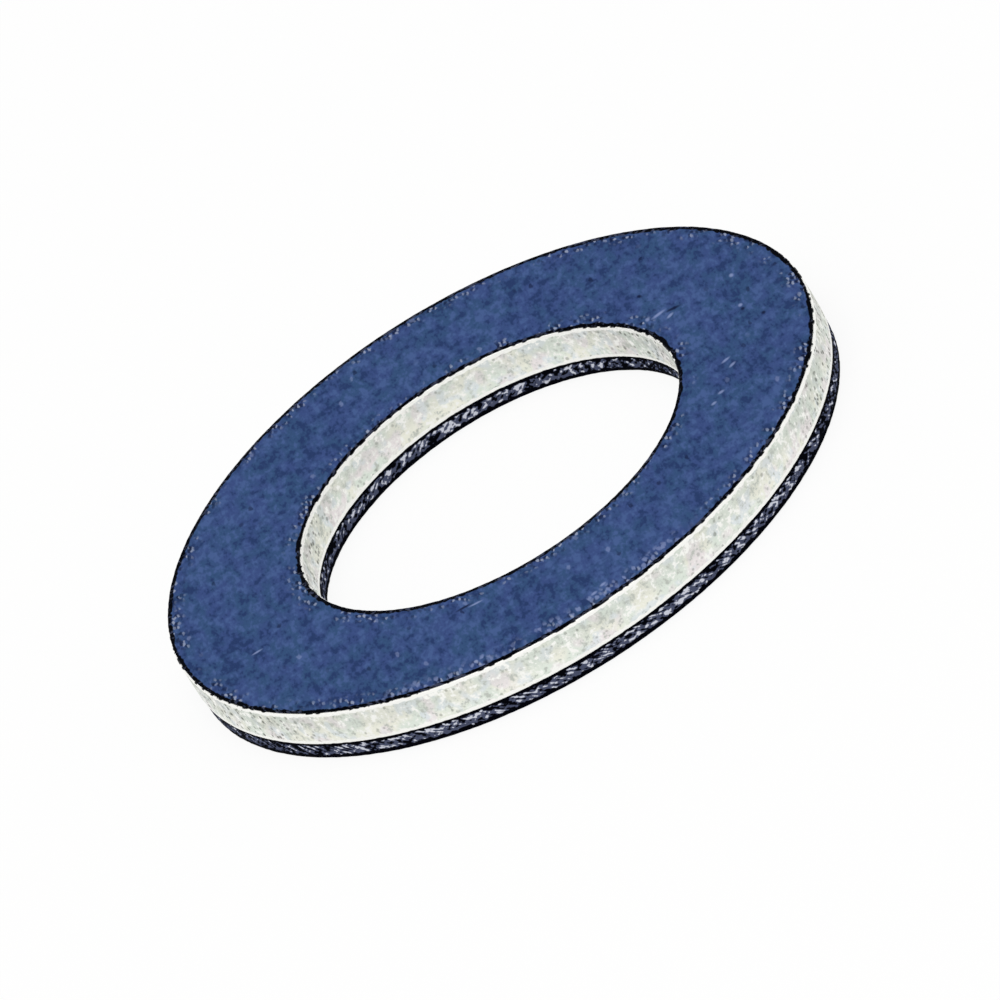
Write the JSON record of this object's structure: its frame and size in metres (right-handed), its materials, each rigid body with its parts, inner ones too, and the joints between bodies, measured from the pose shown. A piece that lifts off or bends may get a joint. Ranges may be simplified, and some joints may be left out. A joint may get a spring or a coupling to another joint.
{
  "type": "bonded sealing washer",
  "caption": "Flat sealing washer: a pale metal ring between bonded blue rubber facings, for clamping under a threaded plug or union bolt.",
  "frame": {"origin": "on the washer's axis, in the plane of the lower facing's free face, which is what the washer rests on", "axes": "+Z along the bore's axis, from the thicker lower facing towards the thin upper facing; X and Y are any two directions square to it"},
  "size_m": [0.024, 0.024, 0.0021],
  "materials": {
    "core_metal": "pale matte stamped aluminium with a light tumbled grain and small burnished rims",
    "facing_rubber": "matte mottled navy-blue rubber with fine grain, darker at its cut rims"
  },
  "bodies": {
    "root": {"upper_facing": "facing_rubber", "core_ring": "core_metal", "lower_facing": "facing_rubber"}
  },
  "joints": []
}
